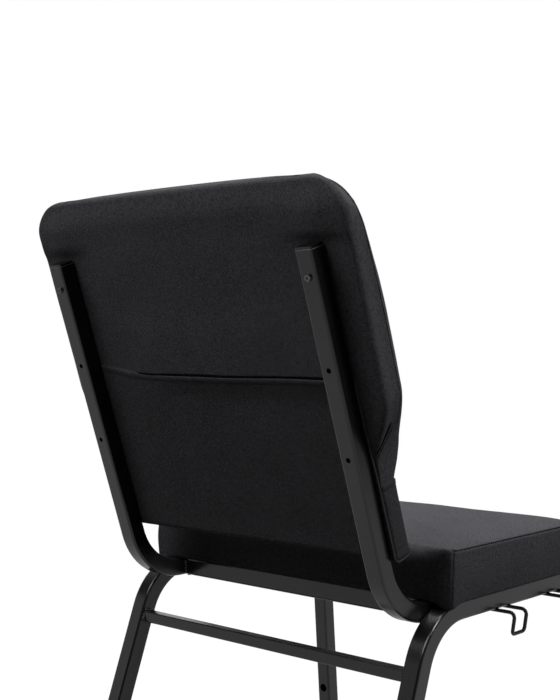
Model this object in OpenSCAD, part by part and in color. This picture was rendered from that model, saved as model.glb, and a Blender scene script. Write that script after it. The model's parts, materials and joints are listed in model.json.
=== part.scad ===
// Choir chair: an armless stacking chair of bent square steel tube with a
// foam seat and back. +Z is up, the sitter faces -Y, and the sitter's left
// is +X. The origin is on the floor, under the middle of the chair.

/* [Frame] */
// Width over the outer faces of the two side frames
frame_w = 537; // [480:1:600]
// Side of the square frame tube
tube = 25.4; // [22:0.1:28]
// Wall of the frame tube
tube_wall = 1.6; // [1.2:0.1:2.5]
// Radius on the tube's long edges
tube_edge_r = 3; // [2:0.5:4]
// Bend radius at the tube's centre line
bend_r = 88.9; // [70:0.1:100]
// Height of the underside of the side rails
rail_h = 342; // [320:1:370]
// Distance between the front and rear corners of a side frame
rail_len = 392.5; // [370:0.5:430]
// Angle of the rear legs from upright
rear_leg_angle = 20.4; // [10:0.1:24]
// Angle of the front legs from upright
front_leg_angle = 4.1; // [2:0.1:8]
// Side of the square stretcher between the rear legs
stretcher = 16; // [14:0.5:20]
// Height of the stretcher's middle
stretcher_h = 284; // [250:1:300]
// Height of the rack holes in the front legs
rack_hole_h = 81; // [60:1:120]
// Radius of the rack holes in the front legs
rack_hole_r = 7; // [5:0.1:8]

/* [Back] */
// Recline of the uprights from upright
back_angle = 18.4; // [12:0.1:22]
// Length of an upright from its lower corner to its top
upright_len = 478.6; // [440:0.1:500]
// Distance from the rear corner of the side frame back to the upright's corner
upright_setback = 44.8; // [35:0.1:55]
// Length of the upright's foot, forward of its bend
foot_len = 200; // [150:5:250]
// Distance of the top fixing from the top of the upright
top_fixing = 34.5; // [25:0.5:45]
// Distance between fixings along the upright
fixing_pitch = 113; // [100:1:125]
// Half width of the back cushion at its side seams
back_half_w = 274.5; // [265:0.5:282]
// How much further the cushion's rear edge reaches to each side than its seam
back_rear_flare = 8; // [0:0.5:10]
// Half width of the thin lower part of the back
back_low_half_w = 251; // [245:1:256]
// Height of the back's lower edge along the uprights
back_bottom = 75; // [60:1:90]
// Height of the back's top edge along the uprights
back_top = 558; // [540:0.5:570]
// Height of the pocket's hem along the uprights
pocket_top = 311; // [280:1:340]
// Half width of the pocket at its hem
pocket_half_w = 245; // [235:1:250]
// Depth of the sag in the middle of the pocket's hem
pocket_sag = 3; // [0:0.5:12]

/* [Seat] */
// Half width of the seat cushion
seat_half_w = 277; // [265:1:285]
// Rear face of the seat cushion
seat_rear = 95.5; // [85:0.5:110]
// Front face of the seat cushion
seat_front = -328; // [-345:1:-310]
// Height of the seat's side panels
seat_side_h = 66.5; // [50:0.5:80]
// Rise of the seat's crown over the side seams
seat_crown = 8; // [2:0.5:20]
// Share of the height lost at the front edge
seat_front_drop = 0.42; // [0.2:0.01:0.6]
// Thickness of the plywood boards
board_t = 12; // [9:1:15]

/* [Ganging] */
// Thickness of the hook and loop wire
wire_d = 5; // [4:0.5:6]
// Reach of hooks and loops beyond the side rail
gang_reach = 25; // [20:1:30]
// Distance between the two wires of a hook
hook_pitch = 30; // [24:1:36]
// Depth of a hook below the rail
hook_drop = 33; // [26:1:40]
// Distance between the two wires of a loop
loop_pitch = 46; // [42:1:60]

/* [Hidden] */
$fn = 48;

// Side frame lines, all at the tube's centre
rail_x = (frame_w - tube) / 2;
upright_x = rail_x - tube;
rail_z = rail_h + tube / 2;
rail_top = rail_h + tube;
rear_corner_y = 119.7;
front_corner_y = rear_corner_y - rail_len;
upright_corner_y = rear_corner_y + upright_setback;
rear_cross_y = 77.5;
front_cross_y = front_corner_y + 75;
glide_t = 6;
plug_h = 20;
lap = 0.5;

// Back lines, measured along the upright from its lower corner and square to it
fabric_t = 1.1;
rear_face = -tube / 2 - 0.1;
cover_rear = rear_face - fabric_t;
board_rear = cover_rear - fabric_t - 0.2;
sleeve_t = 28.5;
sleeve_top = 174;
cushion_bottom = 168;
cushion_corner_r = 47;
cushion_front_corner_r = 70;
cushion_rear_edge_r = 6;
cushion_front_edge_r = 24;
fixings = [for (i = [0:2]) upright_len - top_fixing - i * fixing_pitch];
top_hole_r = 2.8;
access_r = 3.4;
pilot_r = 2.1;

// Seat lines
seat_mid_y = (seat_rear + seat_front) / 2;
seat_half_d = (seat_rear - seat_front) / 2;
board_half_w = seat_half_w - 16;
board_front = seat_front + 12;
board_rear_y = seat_rear - 9;
seat_screw_x = 150;
seat_screw_r = 3;

frame_black = [0.05, 0.05, 0.055];
fabric_black = [0.09, 0.085, 0.095];
plywood = [0.72, 0.56, 0.38];
foam = [0.85, 0.82, 0.7];
zinc = [0.62, 0.63, 0.65];

function smooth(t) = let (c = max(0, min(1, t))) c * c * (3 - 2 * c);
function mix(a, b, t) = a + (b - a) * t;
function mean(pts) = [for (k = [0:2]) sum([for (p = pts) p[k]]) / len(pts)];
function sum(v, i = 0) = i == len(v) ? 0 : v[i] + sum(v, i + 1);

// Plane section of a square bar with edges rounded in three small flats each
module rounded_square(side, edge_r) {
    c = side / 2 - edge_r;
    polygon([for (q = [0:3], k = [0:3])
        [(q == 0 || q == 3 ? c : -c) + edge_r * cos(90 * q + 30 * k),
         (q < 2 ? c : -c) + edge_r * sin(90 * q + 30 * k)]]);
}

module tube_section(side, wall, edge_r) {
    difference() {
        rounded_square(side, edge_r);
        rounded_square(side - 2 * wall, edge_r - wall / 2);
    }
}

module frame_section() tube_section(tube, tube_wall, tube_edge_r);

// Puts a child drawn in X and Y into the vertical plane at x, X towards +Y
module in_side_plane(x, y, z) {
    translate([x, y, z]) rotate([90, 0, 90]) children();
}

// Straight tube in the side plane, from a point along an angle over +Y. It
// starts a little inside its bend, so that the two become one piece.
module side_straight(x, y, z, angle, length) {
    in_side_plane(x, y, z) rotate([0, 0, angle]) translate([-lap, 0]) rotate([0, 90, 0])
        linear_extrude(length + lap) frame_section();
}

// Bend in the side plane about a centre, from an angle through a sweep
module side_bend(x, y, z, angle, sweep) {
    in_side_plane(x, y, z) rotate([0, 0, angle])
        rotate_extrude(angle = sweep, $fn = 96) translate([bend_r, 0]) frame_section();
}

// Puts a child drawn along +Z from an upright's lower corner into place
module on_back() {
    translate([0, upright_corner_y, rail_z]) rotate([-back_angle, 0, 0]) children();
}

// Legs, as [corner y, outward lean, sign of y]
rear_leg = [rear_corner_y, rear_leg_angle, 1];
front_leg = [front_corner_y, front_leg_angle, -1];
function leg_heading(leg) = -90 + leg[2] * leg[1];
function leg_length(leg) = rail_z / cos(leg[1]);
function bend_run(leg) = round(100 * bend_r * tan((90 - leg[1]) / 2)) / 100;
function leg_y(leg, z) = leg[0] + leg[2] * (rail_z - z) * tan(leg[1]);

// One side frame: rear leg, side rail and front leg in a single bent tube
module side_frame(x) {
    rear_run = bend_run(rear_leg);
    front_run = bend_run(front_leg);
    color(frame_black) {
        for (leg = [rear_leg, front_leg]) difference() {
            side_straight(x, leg[0] + cos(leg_heading(leg)) * bend_run(leg),
                rail_z + sin(leg_heading(leg)) * bend_run(leg),
                leg_heading(leg), leg_length(leg) - bend_run(leg) + tube);
            translate([x - tube, front_corner_y - 100, -2 * tube])
                cube([2 * tube, rail_len + 400, 2 * tube + glide_t]);
            rack_hole_cut(x);
        }
        side_bend(x, rear_corner_y - rear_run, rail_z - bend_r, 90, rear_leg_angle - 90);
        side_bend(x, front_corner_y + front_run, rail_z - bend_r, 90, 90 - front_leg_angle);
        in_side_plane(x, front_corner_y + front_run, rail_z) rotate([0, 90, 0])
            linear_extrude(rail_len - rear_run - front_run) frame_section();
    }
}

// Hole through the rear wall of a front leg
module rack_hole_cut(x) {
    translate([x, leg_y(front_leg, rack_hole_h), rack_hole_h])
        rotate([-90 - front_leg_angle, 0, 0])
        translate([0, 0, tube / 2 - 3 * tube_wall]) cylinder(r = rack_hole_r, h = 6 * tube_wall);
}

// Foot pressed into a leg's end: a flat pad on the floor and a plug above it
module glide(x, leg) {
    heading = leg_heading(leg);
    plug = tube - 2 * tube_wall - 0.6;
    module along_leg(side, edge_r) {
        in_side_plane(x, leg_y(leg, 80), 80) rotate([0, 0, heading]) rotate([0, 90, 0])
            linear_extrude(140) rounded_square(side, edge_r);
    }
    color([0.03, 0.03, 0.03]) {
        intersection() {
            along_leg(tube, tube_edge_r);
            translate([x - tube, -400, 0]) cube([2 * tube, 800, glide_t]);
        }
        intersection() {
            along_leg(plug, 1.5);
            translate([x - tube, -400, glide_t - 1]) cube([2 * tube, 800, plug_h]);
        }
    }
}

// One back upright with its foot, open at the fixings
module upright(side) {
    x = side * upright_x;
    turn = 90 - back_angle;
    run = bend_r * tan(turn / 2);
    color(frame_black) difference() {
        union() {
            side_straight(x, upright_corner_y - run - foot_len, rail_z, 0, foot_len + lap);
            side_bend(x, upright_corner_y - run, rail_z + bend_r, -90, turn);
            side_straight(x, upright_corner_y + sin(back_angle) * run,
                rail_z + cos(back_angle) * run, turn, upright_len - run);
        }
        on_back() for (i = [0:2]) translate([x, 0, fixings[i]]) rotate([-90, 0, 0]) {
            rear_r = i == 0 ? top_hole_r : access_r;
            front_r = i == 0 ? top_hole_r : pilot_r;
            translate([0, 0, 5]) cylinder(r = rear_r, h = tube);
            translate([0, 0, -tube]) cylinder(r = front_r, h = tube);
        }
    }
}

// Plate welded over the top of an upright
module upright_cap(side) {
    color(frame_black) on_back() translate([side * upright_x, 0, upright_len])
        linear_extrude(1.5) rounded_square(tube - 0.6, tube_edge_r);
}

// Level tube between the two sides, drilled up through for the seat screws
module cross_tube(y, half_len) {
    color(frame_black) difference() {
        translate([-half_len, y, rail_z]) rotate([0, 90, 0])
            linear_extrude(2 * half_len) frame_section();
        for (side = [-1, 1]) {
            translate([side * seat_screw_x, y, rail_h - 1]) cylinder(r = 7, h = 5);
            translate([side * seat_screw_x, y, rail_z]) cylinder(r = 3.3, h = tube);
        }
    }
}

module rear_stretcher() {
    half_len = rail_x - tube / 2;
    color(frame_black) translate([-half_len, leg_y(rear_leg, stretcher_h), stretcher_h])
        rotate([0, 90, 0]) linear_extrude(2 * half_len) tube_section(stretcher, 1.5, 2);
}

// Round wire from one point to another
module wire(a, b) {
    d = b - a;
    translate(a) rotate([0, acos(d[2] / norm(d)), atan2(d[1], d[0])])
        cylinder(d = wire_d, h = norm(d));
}

// Points of an arc from one angle to another, as [u, v] about a centre
function arc(mid, r, from, to, steps) =
    [for (k = [0:steps]) mid + r * [cos(mix(from, to, k / steps)), sin(mix(from, to, k / steps))]];

// Round wire through a list of points, one ring square to the path at each
module swept_wire(path, sides) {
    last = len(path) - 1;
    rings = [for (i = [0:last])
        let (ahead = path[min(i + 1, last)] - path[i], behind = path[i] - path[max(i - 1, 0)],
             t0 = i == last ? behind / norm(behind) : ahead / norm(ahead),
             t1 = i == 0 ? t0 : behind / norm(behind),
             t = (t0 + t1) / norm(t0 + t1), stretch = 2 / norm(t0 + t1),
             u = cross(t, [0.3, 0.2, 0.93]) / norm(cross(t, [0.3, 0.2, 0.93])), v = cross(t, u))
        [for (k = [0:sides - 1]) path[i] + wire_d / 2 * (u * cos(360 * k / sides) + v * sin(360 * k / sides))]];
    loft(rings);
}

// Ganging hook on the right rail: a wire out from under the rail, bent down,
// across the bottom and back up beside itself
hook_lean = 9;
hook_bend = 7;
hook_corner = 5;
module ganging_hook(y) {
    half = hook_pitch / 2;
    weld_x = -rail_x + tube / 2;
    out_x = -frame_w / 2 - gang_reach + wire_d / 2;
    wire_z = rail_h - wire_d / 2;
    bend_mid = [out_x + hook_bend, wire_z - hook_bend];
    knee = arc(bend_mid, hook_bend, 90, 180 + hook_lean, 8);
    down = [sin(hook_lean), 0, -cos(hook_lean)];
    drop = (hook_drop - wire_d - hook_bend) / cos(hook_lean);
    foot = [knee[8][0], 0, knee[8][1]];
    side = concat([[weld_x, half, wire_z]], [for (p = knee) [p[0], half, p[1]]],
        [for (q = arc([half - hook_corner, drop - hook_corner], hook_corner, 0, 90, 6))
            foot + down * q[1] + [0, q[0], 0]]);
    n = len(side);
    color(frame_black) translate([0, y, 0])
        swept_wire(concat(side, [for (i = [n - 1:-1:0]) [side[i][0], -side[i][1], side[i][2]]]), 12);
}

// Ganging loop on the left rail: a level wire bow that a hook drops into
module ganging_loop(y) {
    corner = 8;
    weld_x = rail_x - tube / 2;
    out_x = frame_w / 2 + gang_reach - wire_d / 2;
    wire_z = rail_h - wire_d / 2;
    color(frame_black) translate([0, y, wire_z]) {
        for (side = [-1, 1]) {
            wire([weld_x, side * loop_pitch / 2, 0], [out_x - corner, side * loop_pitch / 2, 0]);
            translate([out_x - corner, side * (loop_pitch / 2 - corner), 0])
                rotate([0, 0, side > 0 ? 0 : -90]) rotate_extrude(angle = 90)
                translate([corner, 0]) circle(d = wire_d);
        }
        wire([out_x, corner - loop_pitch / 2, 0], [out_x, loop_pitch / 2 - corner, 0]);
    }
}

// Rubber buttons under the front cross tube
module stacking_bumpers() {
    color([0.04, 0.04, 0.04]) for (side = [-1, 1])
        translate([side * 190, front_cross_y, rail_h - 7]) cylinder(r1 = 7, r2 = 9, h = 7);
}

// Outline of a rectangle with round corners, counter-clockwise from +X
function rounded_outline(hx, hy, r, corner_steps, side_steps) = [
    for (c = [0:3])
        let (sx = (c == 0 || c == 3) ? 1 : -1, sy = c < 2 ? 1 : -1,
             nx = c == 0 || c == 1 ? -1 : 1, ny = c == 1 || c == 2 ? -1 : 1,
             mid = [sx * (hx - r), sy * (hy - r)],
             last = mid + r * [cos(90 * c + 90), sin(90 * c + 90)],
             next = [nx * (hx - r), ny * (hy - r)] + r * [cos(90 * c + 90), sin(90 * c + 90)])
        each concat(
            [for (k = [0:corner_steps]) mid + r * [cos(90 * (c + k / corner_steps)), sin(90 * (c + k / corner_steps))]],
            [for (k = [1:side_steps - 1]) mix(last, next, k / side_steps)])
];

// Closed solid through rings that all have the same number of points
module loft(rings) {
    n = len(rings[0]);
    m = len(rings);
    points = concat([for (r = rings) each r], [mean(rings[0]), mean(rings[m - 1])]);
    faces = concat(
        [for (i = [0:m - 2], j = [0:n - 1])
            each [[i * n + j, (i + 1) * n + j, i * n + (j + 1) % n],
                  [i * n + (j + 1) % n, (i + 1) * n + j, (i + 1) * n + (j + 1) % n]]],
        [for (j = [0:n - 1]) [m * n, j, (j + 1) % n]],
        [for (j = [0:n - 1]) [m * n + 1, (m - 1) * n + (j + 1) % n, (m - 1) * n + j]]);
    polyhedron(points, faces);
}

// Fall of the seat towards its front edge, 0 behind and 1 at the edge
function front_fall(y) = let (t = max(0, (seat_front + 150 - y) / 150)) t * t;

// Seat rings as [inset, height, corner radius]: sides that flare a little
// towards the bottom, then the seam and the crown
seat_levels = concat(
    [[14, 0, 10]],
    [for (u = [0:1 / 6:1])
        [1 + 4 * u - 2.5 * sin(180 * u), 2 + u * (seat_side_h - 4), 15 + 6 * u]],
    [[6, seat_side_h - 1, 19], [6.5, seat_side_h + 0.5, 18.5]],
    [for (d = [12, 24, 44, 75, 120, 190])
        [d, seat_side_h + 1 + (seat_crown - 1) * (1 - pow(1 - d / 200, 3)), max(4, 24 - d)]]);

function seat_ring(inset, height, r, shrink, corner_steps, side_steps) =
    [for (p = rounded_outline(seat_half_w - inset - shrink, seat_half_d - inset - shrink,
            max(3, r - shrink), corner_steps, side_steps))
        [p[0], p[1] + seat_mid_y,
         rail_top + (height - shrink) * (1 - seat_front_drop * front_fall(p[1] + seat_mid_y))]];

// Inside of the cover, coarser than its outside, from a given depth upwards
module seat_core(shrink, from) {
    loft(concat(
        [[for (p = seat_ring(3, 0, 13, shrink, 4, 7)) [p[0], p[1], from]]],
        [for (l = [[1, 8, 14], [0.5, 30, 18], [3, seat_side_h - 4, 20],
                   [7, seat_side_h, 18], [24, seat_side_h + 2.5, 5],
                   [75, seat_side_h + seat_crown - 3, 4], [150, seat_side_h + seat_crown - 0.5, 4]])
            seat_ring(l[0], l[1], l[2], shrink, 4, 7)]));
}

module seat_cover() {
    color(fabric_black) difference() {
        loft([for (l = seat_levels) seat_ring(l[0], l[1], l[2], 0, 4, 7)]);
        seat_core(1.8, rail_top - 5);
    }
}

module seat_board_shape(grow, z, t) {
    w = board_half_w + grow;
    translate([0, (board_rear_y + board_front) / 2, z]) linear_extrude(t) {
        d = (board_rear_y - board_front) / 2 + grow;
        square([2 * w - 40, 2 * d], center = true);
        square([2 * w, 2 * d - 40], center = true);
        for (a = [-1, 1], b = [-1, 1]) translate([a * (w - 20), b * (d - 20)]) circle(20);
    }
}

module seat_board() {
    color(plywood) difference() {
        seat_board_shape(0, rail_top + 0.2, board_t);
        for (y = [rear_cross_y, front_cross_y], side = [-1, 1])
            translate([side * seat_screw_x, y, rail_top - 1]) cylinder(r = 4.6, h = board_t + 5);
    }
}

module seat_foam() {
    color(foam) difference() {
        seat_core(2.4, rail_top + 5);
        seat_board_shape(0.3, rail_top - 5, board_t + 5.5);
        for (y = [rear_cross_y, front_cross_y], side = [-1, 1])
            translate([side * seat_screw_x, y, rail_top - 5]) cylinder(r = 12, h = board_t + 8);
    }
}

// Thin cloth stapled under the board, inside the frame
module seat_dust_cover() {
    color([0.06, 0.06, 0.06])
        translate([-upright_x + tube / 2 + 3, front_cross_y + tube, rail_top - 0.9])
        cube([2 * upright_x - tube - 6, rear_cross_y - front_cross_y - 2 * tube, 1]);
}

// Machine screw from below: head on the inside of the tube's upper wall
module seat_screws() {
    color(zinc) for (y = [rear_cross_y, front_cross_y], side = [-1, 1])
        translate([side * seat_screw_x, y, rail_top - tube_wall - 3.4]) {
            cylinder(r = 5.8, h = 3.3);
            cylinder(r = seat_screw_r, h = 3.4 + tube_wall + board_t);
        }
}

module seat_tee_nuts() {
    color(zinc) for (y = [rear_cross_y, front_cross_y], side = [-1, 1])
        translate([side * seat_screw_x, y, rail_top + 0.2]) difference() {
            union() {
                translate([0, 0, 3]) cylinder(r = 4.3, h = board_t - 3);
                translate([0, 0, board_t + 0.1]) cylinder(r = 10, h = 1.5);
                translate([0, 0, board_t - 0.5]) cylinder(r = 4.3, h = 1);
            }
            translate([0, 0, -1]) cylinder(r = seat_screw_r + 0.05, h = board_t + 4);
        }
}

// Back cushion: half width, seam line and front line at a height
function back_swell(s) = smooth((s - 196) / 93);
function top_round(s, r, top) = s < top - r ? 0 : r - sqrt(max(0, r * r - pow(s - top + r, 2)));
function back_w(s, top) = mix(back_low_half_w, back_half_w, back_swell(s))
    - top_round(s, cushion_corner_r, top);
function back_seam_n(s) = mix(-33, -47, smooth((s - 180) / 50)) + 6 * smooth((s - 380) / 160);
function back_front_n(s) = mix(-36, -62, smooth((s - 150) / 68)) - smooth((s - 270) / 70)
    + 10 * smooth((s - 380) / 160);
function back_crown(s) = mix(1, 18, smooth((s - 175) / 110)) - 5 * smooth((s - 400) / 150);

// Half section of the cushion at a height, from the rear middle to the front
// middle, as [x, n] with n towards the rear. The front corners are rounder.
function back_half_section(s, e, top) =
    let (w = back_w(s, top) - e,
         rear = cover_rear - e - top_round(s, cushion_rear_edge_r, top),
         tuck = top_round(s, cushion_front_corner_r, top) - top_round(s, cushion_corner_r, top),
         front_edge = top_round(s, cushion_front_edge_r, top),
         seam = back_seam_n(s) + e + front_edge / 2,
         front = back_front_n(s) + e + front_edge,
         rise = back_crown(s), bulge = 5.5 * back_swell(s), wide = w + back_rear_flare * back_swell(s))
    [[0, rear], [w * 0.55, rear], [wide - 6, rear], [wide - 0.5, rear - 2.5], [wide, rear - 8],
     [w + 1.2 * bulge - 0.5 * tuck, mix(rear - 9, seam, 0.55)], [w + 0.8 * bulge - 0.8 * tuck, seam],
     [w + 0.5 * bulge - 0.8 * tuck, seam - 3],
     [w - 3 - tuck, front], [w - 24 - tuck, front - 0.35 * rise], [w * 0.68, front - 0.75 * rise],
     [w * 0.36, front - 0.95 * rise], [0, front - rise]];

function back_ring(s, e, top) =
    let (half = back_half_section(s, e, top), n = len(half))
    concat([for (i = [n - 1:-1:0]) [half[i][0], half[i][1], s]],
           [for (i = [1:n - 2]) [-half[i][0], half[i][1], s]]);

cushion_heights = concat(
    [for (s = [168, 180, 192, 205, 218, 232, 250, 270, 295, 335, 385, 435, 480]) s],
    [for (a = [0:15:90]) back_top - cushion_corner_r + cushion_corner_r * sin(a)]);
core_heights = [180, 205, 232, 262, 295, 385, 480, 511, 538, 551];

module back_core(e, from) {
    loft([for (s = concat([from], core_heights)) back_ring(s, e, back_top - e)]);
}

module back_cover() {
    color(fabric_black) on_back() difference() {
        loft([for (s = cushion_heights) back_ring(s, 0, back_top)]);
        back_core(2.5, cushion_bottom - 8);
    }
}

// Plywood board inside the back, and the space it takes with a clearance
board_back_w = back_low_half_w - 3.5;
module back_board_shape(grow) {
    translate([-board_back_w - grow, board_rear - board_t - grow, back_bottom + 1.5 - grow])
        cube([2 * (board_back_w + grow), board_t + 2 * grow, 455 + 2 * grow]);
}

module back_board() {
    color(plywood) on_back() difference() {
        back_board_shape(0);
        for (s = fixings, side = [-1, 1])
            translate([side * upright_x, 0, s]) rotate([90, 0, 0]) cylinder(r = 3.6, h = 2 * tube);
    }
}

module back_foam() {
    color(foam) on_back() {
        difference() {
            back_core(3.5, cushion_bottom + 10);
            back_board_shape(0.3);
            for (s = fixings, side = [-1, 1])
                translate([side * upright_x, board_rear - board_t + 2, s]) rotate([90, 0, 0])
                    cylinder(r = 10, h = 4.5);
        }
    }
}

// Cloth tube round the board below the cushion, over a thin pad
module back_lower_sleeve() {
    low_t = sleeve_t - fabric_t;
    color(fabric_black) on_back() translate([0, cover_rear - low_t / 2, back_bottom])
        difference() {
            linear_extrude(sleeve_top - back_bottom - 8) sleeve_section(0);
            translate([0, 0, fabric_t]) linear_extrude(200) sleeve_section(fabric_t);
        }
}

module sleeve_section(inset) {
    w = back_low_half_w - 0.5 - inset;
    d = (sleeve_t - fabric_t) / 2 - inset;
    r = 5 - inset;
    square([2 * (w - r), 2 * d], center = true);
    square([2 * w, 2 * (d - r)], center = true);
    for (a = [-1, 1], b = [-1, 1]) translate([a * (w - r), b * (d - r)]) circle(r);
}

// Flat pocket across the rear of the back, behind it and in front of the uprights
module pocket_outline() {
    low_w = back_low_half_w - 1.5;
    side = [[low_w, back_bottom], [low_w - 1, 160], [pocket_half_w + 2, 228], [pocket_half_w, 260]];
    hem = [for (k = [10:-1:-10]) let (t = k / 10)
        [t * pocket_half_w, pocket_top + pocket_sag * t * t]];
    polygon(concat(side, hem, [for (i = [len(side) - 1:-1:0]) [-side[i][0], side[i][1]]]));
}

module pocket_panel() {
    color(fabric_black) on_back() {
        translate([0, rear_face, 0]) rotate([90, 0, 0]) linear_extrude(fabric_t - 0.1) pocket_outline();
    }
}

// Pan-head machine screws through the tops of the uprights into the board
module back_top_screws() {
    color(zinc) on_back() for (side = [-1, 1])
        translate([side * upright_x, tube / 2, fixings[0]]) rotate([-90, 0, 0]) {
            difference() {
                cylinder(r1 = 4.9, r2 = 4.2, h = 2.8);
                for (a = [0, 90]) rotate([0, 0, a + 45]) translate([-2.4, -0.45, 1.2]) cube([4.8, 0.9, 3]);
            }
            translate([0, 0, -tube - board_t - 3]) cylinder(r = 2.5, h = tube + board_t + 3.2);
        }
}

// Small-headed screws inside the tube, reached through the lower holes
module back_lower_screws() {
    color(zinc) on_back() for (side = [-1, 1], i = [1, 2])
        translate([side * upright_x, -tube / 2 + tube_wall + 0.1, fixings[i]]) rotate([-90, 0, 0]) {
            cylinder(r = 3, h = 2.2);
            translate([0, 0, -tube_wall - board_t - 3]) cylinder(r = 1.9, h = tube_wall + board_t + 3.2);
        }
}

module back_tee_nuts() {
    color(zinc) on_back() for (side = [-1, 1], i = [0:2])
        translate([side * upright_x, board_rear - board_t - 0.1, fixings[i]]) rotate([90, 0, 0])
            difference() {
                union() {
                    cylinder(r = 8.5, h = 1.4);
                    translate([0, 0, -board_t + 3]) cylinder(r = 3.4, h = board_t - 2.9);
                }
                translate([0, 0, -2 * board_t]) cylinder(r = i == 0 ? 2.55 : 1.95, h = 3 * board_t);
            }
}

side_frame(rail_x);  // side_frame_left
side_frame(-rail_x);  // side_frame_right
upright(1);  // upright_left
upright(-1);  // upright_right
upright_cap(1);  // upright_cap_left
upright_cap(-1);  // upright_cap_right
cross_tube(rear_cross_y, upright_x - tube / 2);  // rear_cross_tube
cross_tube(front_cross_y, rail_x - tube / 2);  // front_cross_tube
rear_stretcher();
glide(rail_x, front_leg);  // glide_front_left
glide(-rail_x, front_leg);  // glide_front_right
glide(rail_x, rear_leg);  // glide_rear_left
glide(-rail_x, rear_leg);  // glide_rear_right
ganging_hook(-42);  // ganging_hook_rear
ganging_hook(-176);  // ganging_hook_front
ganging_loop(-42);  // ganging_loop_rear
ganging_loop(-176);  // ganging_loop_front
stacking_bumpers();
seat_board();
seat_foam();
seat_cover();
seat_dust_cover();
seat_screws();
seat_tee_nuts();
back_board();
back_foam();
back_cover();
back_lower_sleeve();
pocket_panel();
back_top_screws();
back_lower_screws();
back_tee_nuts();
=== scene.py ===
import json
import math
from collections import namedtuple

import bmesh
import bpy
from mathutils import Matrix, Vector, noise
from mathutils.bvhtree import BVHTree


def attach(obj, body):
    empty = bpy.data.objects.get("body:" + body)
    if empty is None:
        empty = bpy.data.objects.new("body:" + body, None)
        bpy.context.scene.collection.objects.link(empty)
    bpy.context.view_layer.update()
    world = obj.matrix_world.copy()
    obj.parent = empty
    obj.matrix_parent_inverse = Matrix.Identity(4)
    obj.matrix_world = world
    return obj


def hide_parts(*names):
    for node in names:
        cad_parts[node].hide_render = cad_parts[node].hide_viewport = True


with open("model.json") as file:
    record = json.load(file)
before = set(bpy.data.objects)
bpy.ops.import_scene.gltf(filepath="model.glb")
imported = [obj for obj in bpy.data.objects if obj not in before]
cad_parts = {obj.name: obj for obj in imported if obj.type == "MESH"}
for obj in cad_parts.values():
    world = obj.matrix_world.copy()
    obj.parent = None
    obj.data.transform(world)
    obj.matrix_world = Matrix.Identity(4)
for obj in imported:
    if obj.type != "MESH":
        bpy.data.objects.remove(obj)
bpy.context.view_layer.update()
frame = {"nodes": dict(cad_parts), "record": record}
nodes = frame["nodes"]

# Sizes are in millimetres, in the row frame: +Z up, the sitter faces -Y and has +X on the left.
# new_piece turns them into metres.
MM = 0.001
SIDES = ((-1, "right"), (1, "left"))
QUARTERS = ((1, 1), (-1, 1), (-1, -1), (1, -1))

# Frame of square tube. RAIL_X and RAIL_Z are the middle of the side rails, and CORNER_Y is where the
# middle of the leaning uprights meets RAIL_Z.
TUBE = 25.4
RAIL_X = 255.8
RAIL_Z = 354.7
RAIL_BOTTOM = RAIL_Z - TUBE / 2
RAIL_TOP = RAIL_Z + TUBE / 2
UPRIGHT_X = 230.4
CORNER_Y = 164.5
RECLINE = math.radians(18.4)
REAR_CROSS_Y = 77.5
FRONT_CROSS_Y = -197.8


# Shape helpers
def smooth(t):
    """Eases from 0 to 1 while t goes from 0 to 1."""
    c = max(0.0, min(1.0, t))
    return c * c * (3 - 2 * c)


def rise(v, start, over):
    """0 up to start, and then it eases to 1 over a distance."""
    return smooth((v - start) / over)


def fade(v, end, over):
    """Eases from 1 to 0 over a distance that ends at end."""
    return smooth((end - v) / over)


def mix(a, b, t):
    return a + (b - a) * t


def spaced(start, step, count):
    return [start + step * k for k in range(count)]


def wobble(x, y, z, scale, seed):
    """Soft noise from -1 to 1, with features about scale millimetres across."""
    return noise.noise(Vector((x / scale + seed, y / scale - seed, z / scale + 2 * seed)))


def on_back(x, s, n):
    """A point of the back, at s up the uprights from their corner and n rearward of their middle."""
    return Vector((x, CORNER_Y + s * math.sin(RECLINE) + n * math.cos(RECLINE),
                   RAIL_Z + s * math.cos(RECLINE) - n * math.sin(RECLINE)))


def at_upright(x, reach):
    return abs(abs(x) - UPRIGHT_X) < reach


def corner_arc(q, half_w, half_d, r, steps):
    """Corner q of a rounded rectangle, from 0 at +X and +Y on to 4, which is 0 again."""
    sx, sy = QUARTERS[q % 4]
    mid_x, mid_y = sx * (half_w - r), sy * (half_d - r)
    angles = [math.radians(90 * (q + k / steps)) for k in range(steps + 1)]
    return [(mid_x + r * math.cos(a), mid_y + r * math.sin(a)) for a in angles]


def catmull(points, per_segment):
    """Smooth curve through points, given as tuples, with so many steps from each to the next."""
    out = []
    last = len(points) - 1
    for i in range(last):
        near = [points[max(0, min(last, i + k))] for k in (-1, 0, 1, 2)]
        for k in range(per_segment):
            t = k / per_segment
            out.append(tuple(
                0.5 * (2 * b + (c - a) * t + (2 * a - 5 * b + 4 * c - d) * t * t
                       + (3 * b - a - 3 * c + d) * t * t * t)
                for a, b, c, d in zip(*near)))
    out.append(tuple(points[-1]))
    return out


def girth_marks(loop):
    """How far along a closed loop each of its points lies, and last the whole way round."""
    marks = [0.0]
    for (xa, ya), (xb, yb) in zip(loop, loop[1:] + loop[:1]):
        marks.append(marks[-1] + math.hypot(xb - xa, yb - ya))
    return marks


def column_runs(rings):
    """How far along its own column each point of each ring lies, from the first ring on."""
    runs = [[0.0] * len(rings[0])]
    for before, ring in zip(rings, rings[1:]):
        runs.append([r + (Vector(p) - Vector(q)).length for r, p, q in zip(runs[-1], ring, before)])
    return runs


# Mesh helpers
def linked(name, data):
    obj = bpy.data.objects.new(name, data)
    bpy.context.scene.collection.objects.link(obj)
    return obj


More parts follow.
